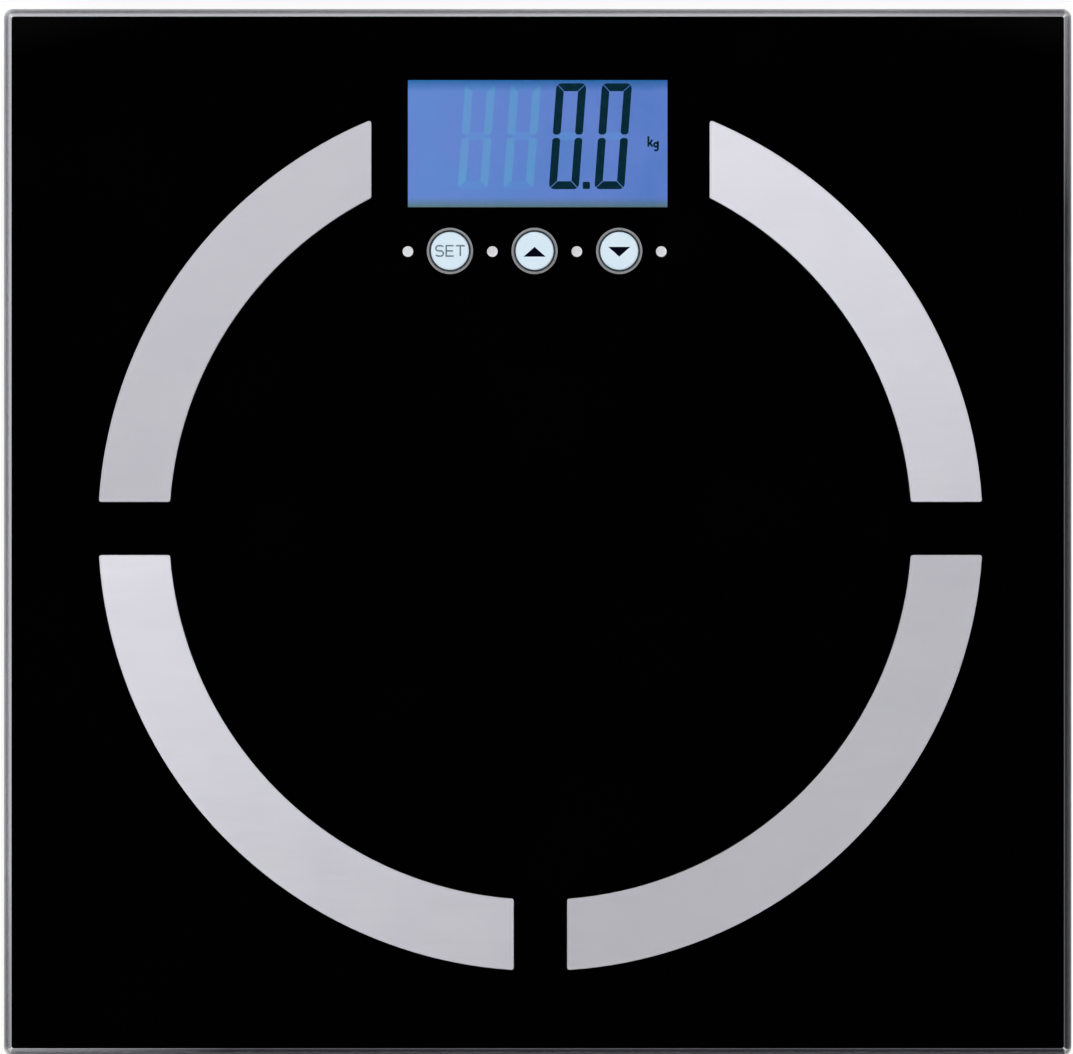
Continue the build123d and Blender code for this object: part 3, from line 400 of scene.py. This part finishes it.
def display_blue_with_painted_shade(tree):
    """The blue of the display: paler at the left, clouded with violet, with painted shade of the film
    window's edge along its long edges.
    """
    low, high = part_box("lcd_panel")
    axes = place_axes(tree)
    across = spread(tree, axes["X"], 0.0, 1.0, low.x, high.x)
    rise = spread(tree, axes["Y"], 0.0, 1.0, low.y + LCD_HIDDEN, high.y - LCD_HIDDEN)
    blue = ramp(tree, across, [(0.1, BLUE_LEFT), (0.9, BLUE_RIGHT)])
    cloud = spread(tree, noise(tree, LCD_CLOUD), 0.0, VIOLET_SHARE)
    tinged = mixed(tree, cloud, blue, rgba(*VIOLET))
    # Painted shade along the long edges, where the edge of the film window would shade the panel
    return mixed(tree, 1.0, tinged, ramp(tree, rise, LCD_PAINTED_EDGE_SHADE), "MULTIPLY")


def lcd_glass():
    """A display lit from behind."""
    material, tree, shader = new_material("lcd_glass", {"Roughness": 0.25, "Emission Strength": 1.0})
    finish_shader(shader, {
        # The emission carries painted shade along the long edges of the window
        "Base Color": blend(tree, noise(tree, LCD_CLOUD), *LCD_DARK),
        "Emission Color": display_blue_with_painted_shade(tree),
    })
    return material


def ghost_ink(name, tint, glow):
    """Unlit segments, which show in the blue of the display and its painted edge shade."""
    material, tree, shader = new_material(name, {"Specular IOR Level": 0.05, "Emission Strength": glow})
    finish_shader(shader, {
        "Base Color": blend(tree, noise(tree, INK_CLOUD), *LCD_DARK),
        "Emission Color": mixed(tree, 1.0, display_blue_with_painted_shade(tree), rgba(*tint), "MULTIPLY"),
        "Roughness": spread(tree, noise(tree, INK_GRAIN), *INK_ROUGH),
    })
    return material


def printed_ink(name, low, high):
    """Thin matt print."""
    material, tree, shader = new_material(name, {"Specular IOR Level": 0.02})
    finish_shader(shader, {
        "Base Color": blend(tree, noise(tree, INK_CLOUD), low, high),
        "Roughness": spread(tree, noise(tree, INK_GRAIN), *INK_ROUGH),
    })
    return material


def key_plastic():
    material, tree, shader = new_material("key_plastic", {"Coat Weight": 0.1})
    grain = noise(tree, 0.3 * MM)
    finish_shader(shader, {
        "Base Color": blend(tree, noise(tree, 5 * MM), (0.70, 0.85, 0.96), (0.74, 0.88, 0.98)),
        "Roughness": spread(tree, grain, 0.3, 0.4),
        "Normal": bumps(tree, grain, 0.004 * MM),
    })
    return material


def board_laminate():
    """Green solder mask with paler copper runs under it."""
    material, tree, shader = new_material("board_laminate", {})
    runs = add(tree, "ShaderNodeTexBrick", {
        "Vector": place_coords(tree),
        "Color1": rgba(0.012, 0.14, 0.05),
        "Color2": rgba(0.016, 0.17, 0.06),
        "Mortar": rgba(0.03, 0.26, 0.10),
        "Scale": 1.0,
        "Mortar Size": 0.35 * MM,
        "Brick Width": 7 * MM,
        "Row Height": 2.6 * MM,
    })
    finish_shader(shader, {
        "Base Color": runs.outputs["Color"],
        "Normal": bumps(tree, runs.outputs["Fac"], 0.03 * MM),
        "Roughness": spread(tree, noise(tree, 2 * MM), 0.3, 0.45),
    })
    return material


def zebra_rubber():
    """Thin dark and pale layers in turn along the strip."""
    material, tree, shader = new_material("zebra_rubber", {})
    bands = add(tree, "ShaderNodeTexWave", {"Vector": place_coords(tree), "Scale": 900.0, "Distortion": 0.0})
    finish_shader(shader, {
        "Base Color": blend(tree, bands.outputs["Fac"], (0.02, 0.02, 0.02), (0.5, 0.48, 0.45)),
        "Roughness": spread(tree, noise(tree, 0.5 * MM), 0.6, 0.8),
    })
    return material


def slot_materials():
    """One material for each material slot of the record, apart from the steel of the contact arcs."""
    materials = {slot: plain_finish(slot, *finish) for slot, finish in PLAIN_FINISHES.items()}
    materials["clear_glass"] = clear_glass()
    materials["black_film"] = black_film()
    materials["lcd_glass"] = lcd_glass()
    materials["key_plastic"] = key_plastic()
    materials["board_laminate"] = board_laminate()
    materials["zebra_rubber"] = zebra_rubber()
    return materials


def dress_nodes(materials):
    for subpart in frame["record"]["subparts"]:
        name = subpart["node"]
        if name in ARC_CHORDS:
            material = contact_steel(name, ARC_CHORDS[name])
        else:
            material = materials[subpart["material_slot"]]
        mesh = frame["nodes"][name].data
        mesh.materials.clear()
        mesh.materials.append(material)


# Flat outlines

def arc(centre, radius, start, end):
    """Points round an arc from start to end, in degrees, with both ends."""
    span = math.radians(end - start)
    steps = max(2, math.ceil(abs(span) / ARC_STEP))
    angles = [math.radians(start) + span * step / steps for step in range(steps + 1)]
    return [Vector((centre[0] + radius * math.cos(a), centre[1] + radius * math.sin(a))) for a in angles]


def rounded_box(width, height, radius):
    corners = [(width - radius, height - radius, 0), (radius, height - radius, 90),
               (radius, radius, 180), (width - radius, radius, 270)]
    return [point for x, y, start in corners for point in arc((x, y), radius, start, start + 90)]


def clipped(outline, line, limit):
    """The part of a convex outline where the dot product with line is not over limit."""
    line = Vector(line)
    kept = []
    for start, end in zip(outline, outline[1:] + outline[:1]):
        over = line.dot(start) - limit
        next_over = line.dot(end) - limit
        if over <= 0:
            kept.append(start)
        if over * next_over < 0:
            kept.append(start.lerp(end, over / (over - next_over)))
    return kept


def ribbon(points, width):
    """The outline of a stroke of even width along an open run of points."""
    points = [Vector(point) for point in points]
    steps = [(end - start).normalized() for start, end in zip(points, points[1:])]
    left, right = [], []
    for index, point in enumerate(points):
        before = steps[max(index - 1, 0)]
        after = steps[min(index, len(steps) - 1)]
        ahead = (before + after).normalized()
        side = Vector((-ahead.y, ahead.x))
        reach = width / 2 / side.dot(Vector((-after.y, after.x)))
        left.append(point + side * reach)
        right.append(point - side * reach)
    return left + right[::-1]


def moved(outlines, x, y):
    return [[point + Vector((x, y)) for point in outline] for outline in outlines]


# Pieces

def mesh_from(shape, name):
    bmesh.ops.recalc_face_normals(shape, faces=shape.faces)
    mesh = bpy.data.meshes.new(name)
    shape.to_mesh(mesh)
    shape.free()
    return mesh


def plate(name, outlines, bottom, top):
    """A mesh of flat plates between two heights, one for each outline."""
    shape = bmesh.new()
    for outline in outlines:
        base = shape.faces.new([shape.verts.new((point.x, point.y, bottom)) for point in outline])
        grown = bmesh.ops.extrude_face_region(shape, geom=[base])["geom"]
        lifted = [item for item in grown if isinstance(item, bmesh.types.BMVert)]
        bmesh.ops.translate(shape, verts=lifted, vec=(0.0, 0.0, top - bottom))
    return mesh_from(shape, name)


def place_piece(name, mesh, material, body):
    piece = bpy.data.objects.new(name, mesh)
    bpy.context.scene.collection.objects.link(piece)
    mesh.materials.append(material)
    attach(piece, body)


def digit_segments():
    """Outlines of the seven segments of an upright digit, by their usual letters."""
    across, up = Vector((1, 0)), Vector((0, 1))
    whole = rounded_box(DIGIT_W, DIGIT_H, DIGIT_CORNER_R)
    top = clipped(whole, -up, SEGMENT_W - DIGIT_H)
    top = clipped(top, -up - across, -DIGIT_H - MITRE_GAP)
    top = clipped(top, across - up, DIGIT_W - DIGIT_H - MITRE_GAP)
    side = clipped(whole, across, SEGMENT_W)
    side = clipped(side, across + up, DIGIT_H - MITRE_GAP)
    foot = DIGIT_H / 2 + MIDDLE_GAP
    side = clipped(side, -up, -foot)
    side = clipped(side, -up - across, -foot - SEGMENT_NIP)
    side = clipped(side, across - up, SEGMENT_W - foot - SEGMENT_NIP)
    half = SEGMENT_W / 2
    middle = [Vector((x, DIGIT_H / 2 + y)) for x, y in (
        (half + MITRE_GAP, 0.0), (SEGMENT_W, -half), (DIGIT_W - SEGMENT_W, -half),
        (DIGIT_W - half - MITRE_GAP, 0.0), (DIGIT_W - SEGMENT_W, half), (SEGMENT_W, half))]

    def turned(outline, flip_x, flip_y):
        return [Vector((
            DIGIT_W - point.x if flip_x else point.x,
            DIGIT_H - point.y if flip_y else point.y,
        )) for point in outline]

    return {
        "a": top,
        "b": turned(side, True, False),
        "c": turned(side, True, True),
        "d": turned(top, False, True),
        "e": turned(side, False, True),
        "f": side,
        "g": middle,
    }


def slanted(outlines):
    lean = math.tan(DIGIT_SLANT)
    return [[Vector((point.x + lean * point.y, point.y)) for point in outline] for outline in outlines]


def unit_letters():
    """Outlines of the letters kg in even strokes, with their base line at zero, sized by UNIT_H."""
    h, w, s = UNIT_H, 0.55 * UNIT_H, UNIT_STROKE
    r = w / 2
    g_x = 0.8 * UNIT_H
    bowl = arc((g_x + r, r), r, 20, 340)
    tail = [(g_x + w, 0.8 * h)] + arc((g_x + r, -0.25 * h), r, 0, -140)
    return [
        ribbon([(0.0, 0.0), (0.0, 1.5 * h)], s),
        ribbon([(s / 2, 0.38 * h), (w, h)], s),
        ribbon([(0.45 * w, 0.5 * h), (1.05 * w, 0.0)], s),
        ribbon(bowl, s),
        ribbon(tail, s),
    ]


def display_pieces(lit_ink, ghost_inks):
    low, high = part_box("lcd_panel")
    middle = (low + high) / 2
    segments = digit_segments()
    for index, lit in enumerate(LIT_SEGMENTS):
        x = middle.x + DIGIT_X + index * DIGIT_PITCH
        y = middle.y + DIGIT_Y
        rows = [(f"lcd_digit_{index}", lit, lit_ink, LIT_BASE, LIT_T)]
        for kind, keys in GHOST_SEGMENTS.items():
            unlit = [key for key in keys if key not in lit]
            rows.append((f"lcd_{kind}_ghost_{index}", unlit, ghost_inks[kind], GHOST_BASE, GHOST_T))
        for name, keys, ink, base, height in rows:
            if keys:
                outlines = moved(slanted([segments[key] for key in keys]), x, y)
                mesh = plate(name, outlines, high.z + base, high.z + base + height)
                place_piece(name, mesh, ink, "scale")
    point = moved(
        [rounded_box(POINT_W, POINT_W, POINT_CORNER_R)],
        middle.x + POINT_X - POINT_W / 2,
        middle.y + POINT_Y - POINT_W / 2,
    )
    unit = moved(unit_letters(), middle.x + UNIT_X, middle.y + UNIT_Y)
    for name, outlines in (("lcd_point", point), ("lcd_unit", unit)):
        mesh = plate(name, outlines, high.z + LIT_BASE, high.z + LIT_BASE + LIT_T)
        place_piece(name, mesh, lit_ink, "scale")


def set_letters():
    """Outlines of the letters SET in even strokes, about the middle of the key."""
    h, w, s = LETTER_H, LETTER_W, LETTER_STROKE
    r = h / 4
    bend = w - r
    letter_s = (
        [(w, h - 0.35 * r)] + arc((bend, h - r), r, 60, 90) + arc((r, h - r), r, 90, 270)
        + arc((bend, r), r, 90, -90) + arc((r, r), r, 270, 240) + [(0.0, 0.35 * r)]
    )
    letter_e = [(w, h), (0.0, h), (0.0, 0.0), (w, 0.0)]
    bar_e = [(s / 2, h / 2), (0.9 * w, h / 2)]
    bar_t = [(-0.1 * w, h), (1.1 * w, h)]
    stem_t = [(w / 2, h - s / 2), (w / 2, 0.0)]
    start = -LETTER_PITCH - w / 2
    letters = moved([ribbon(letter_s, s)], start, -h / 2)
    letters += moved([ribbon(letter_e, s), ribbon(bar_e, s)], start + LETTER_PITCH, -h / 2)
    letters += moved([ribbon(bar_t, s), ribbon(stem_t, s)], start + 2 * LETTER_PITCH, -h / 2)
    return letters


def triangle(up):
    half = TRIANGLE_W / 2
    rise = TRIANGLE_H / 2 if up else -TRIANGLE_H / 2
    return [[Vector((-half, -rise - TRIANGLE_DROP)), Vector((half, -rise - TRIANGLE_DROP)),
             Vector((0.0, rise - TRIANGLE_DROP))]]


def key_signs(letter_ink, arrow_ink):
    signs = {
        "set": (set_letters(), letter_ink),
        "up": (triangle(True), arrow_ink),
        "down": (triangle(False), arrow_ink),
    }
    for name, (outlines, ink) in signs.items():
        low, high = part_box(f"key_cap_{name}")
        middle = (low + high) / 2
        placed = moved(outlines, middle.x, middle.y)
        mesh = plate(f"key_sign_{name}", placed, high.z - SIGN_SINK, high.z - SIGN_SINK + SIGN_T)
        place_piece(f"key_sign_{name}", mesh, ink, f"key_{name}")


def door_grips(material):
    """Half-round ridges under the latch end of the battery door, for a fingertip."""
    low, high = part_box("battery_door")
    profile = arc((0.0, 0.0), GRIP_R, 180, 360)
    half = GRIP_L / 2
    stations = ((-half, GRIP_TAPER), (GRIP_R - half, 1.0), (half - GRIP_R, 1.0), (half, GRIP_TAPER))
    shape = bmesh.new()
    for index in range(GRIP_COUNT):
        y = high.y - GRIP_EDGE - index * GRIP_PITCH
        ends = []
        for x, share in stations:
            places = [(x, y + point.x * share, low.z + point.y * share) for point in profile]
            ends.append([shape.verts.new(place) for place in places])
        for near, far in zip(ends, ends[1:]):
            for start in range(len(profile) - 1):
                shape.faces.new((near[start], near[start + 1], far[start + 1], far[start]))
            shape.faces.new((near[-1], near[0], far[0], far[-1]))
        shape.faces.new(ends[0])
        shape.faces.new(ends[-1])
    mesh = mesh_from(shape, "door_grips")
    place_piece("door_grips", mesh, material, "battery_door")


# Room, lamps and camera

def studio_floor():
    """A pale floor, nearly white to the camera and in reflections, that still takes the shadow."""
    shape = bmesh.new()
    bmesh.ops.create_circle(shape, cap_ends=True, segments=FLOOR_SIDES, radius=FLOOR_R)
    mesh = bpy.data.meshes.new("floor")
    shape.to_mesh(mesh)
    shape.free()
    floor = bpy.data.objects.new("floor", mesh)
    bpy.context.scene.collection.objects.link(floor)
    material, tree, shader = new_material("floor_white", {"Roughness": 0.9, "Specular IOR Level": 0.0})
    finish_shader(shader, {
        "Base Color": blend(tree, noise(tree, 300 * MM), (0.86, 0.86, 0.86), (0.88, 0.88, 0.88)),
    })
    path = add(tree, "ShaderNodeLightPath").outputs
    seen = calc(tree, "MAXIMUM", path["Is Camera Ray"], path["Is Glossy Ray"])
    seen = calc(tree, "MAXIMUM", seen, path["Is Transmission Ray"])
    white = add(tree, "ShaderNodeEmission", {"Color": rgba(*WHITE), "Strength": FLOOR_GLOW})
    coords = add(tree, "ShaderNodeTexCoord")
    away = add(tree, "ShaderNodeVectorMath", {0: coords.outputs["Object"]}, operation="LENGTH")
    glow = spread(tree, away.outputs["Value"], FLOOR_NEAR[1], FLOOR_FAR[1], FLOOR_NEAR[0], FLOOR_FAR[0])
    share = calc(tree, "MULTIPLY", seen, glow)
    mix = add(tree, "ShaderNodeMixShader", {0: share, 1: shader.outputs[0], 2: white.outputs[0]})
    tree.links.new(mix.outputs[0], tree.nodes["Material Output"].inputs["Surface"])
    mesh.materials.append(material)


def studio_world():
    """A white room with dim walls and a bright ceiling, dark overhead on the side of the heels."""
    world = bpy.data.worlds.new("studio")
    bpy.context.scene.world = world
    world.use_nodes = True
    tree = world.node_tree
    background = tree.nodes["Background"]
    background.inputs["Color"].default_value = rgba(*WHITE)
    coords = add(tree, "ShaderNodeTexCoord")
    axes = add(tree, "ShaderNodeSeparateXYZ", {0: coords.outputs["Generated"]})
    height = axes.outputs["Z"]
    skyline = spread(tree, height, 1.0, WALL_LIGHT, *SKYLINE_FADE)
    ceiling = spread(tree, height, 0.0, CEILING_LIGHT - WALL_LIGHT, *CEILING_FADE)
    towards = {0: coords.outputs["Generated"], 1: (0.0, -math.sin(SHADE_TILT), math.cos(SHADE_TILT))}
    overhead = add(tree, "ShaderNodeVectorMath", towards, operation="DOT_PRODUCT").outputs["Value"]
    shade = spread(tree, overhead, 1.0, 0.0, math.cos(SHADE_END), math.cos(SHADE_DARK))
    lit = calc(tree, "MULTIPLY", calc(tree, "ADD", skyline, ceiling), shade)
    tree.links.new(lit, background.inputs["Strength"])


def area_lamp(name, place, size, power):
    lamp = bpy.data.lights.new(name, "AREA")
    lamp.size = size
    lamp.energy = power
    holder = bpy.data.objects.new(name, lamp)
    holder.location = place
    holder.rotation_euler = (-Vector(place)).to_track_quat("-Z", "Y").to_euler()
    bpy.context.scene.collection.objects.link(holder)


def overhead_camera():
    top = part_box("glass_platform")[1].z
    lens = bpy.data.cameras.new("overhead")
    lens.sensor_width = SENSOR_W
    lens.lens = SENSOR_W * CAMERA_RISE / VIEW_W
    lens.clip_end = CAMERA_FAR
    camera = bpy.data.objects.new("overhead", lens)
    camera.location = (CAMERA_X, CAMERA_Y, top + CAMERA_RISE)
    bpy.context.scene.collection.objects.link(camera)
    bpy.context.scene.camera = camera


materials = slot_materials()
dress_nodes(materials)
display_pieces(
    printed_ink("lcd_ink", *LIT_INK),
    {kind: ghost_ink(f"{kind}_ghost", *look) for kind, look in GHOST_LOOKS.items()},
)
key_signs(printed_ink("letter_ink", *LETTER_INK), printed_ink("arrow_ink", *ARROW_INK))
door_grips(materials["tray_plastic"])

studio_floor()
studio_world()
for name, (place, size, power) in LAMPS.items():
    area_lamp(name, place, size, power)
overhead_camera()

scene = bpy.context.scene
scene.view_settings.view_transform = "Standard"
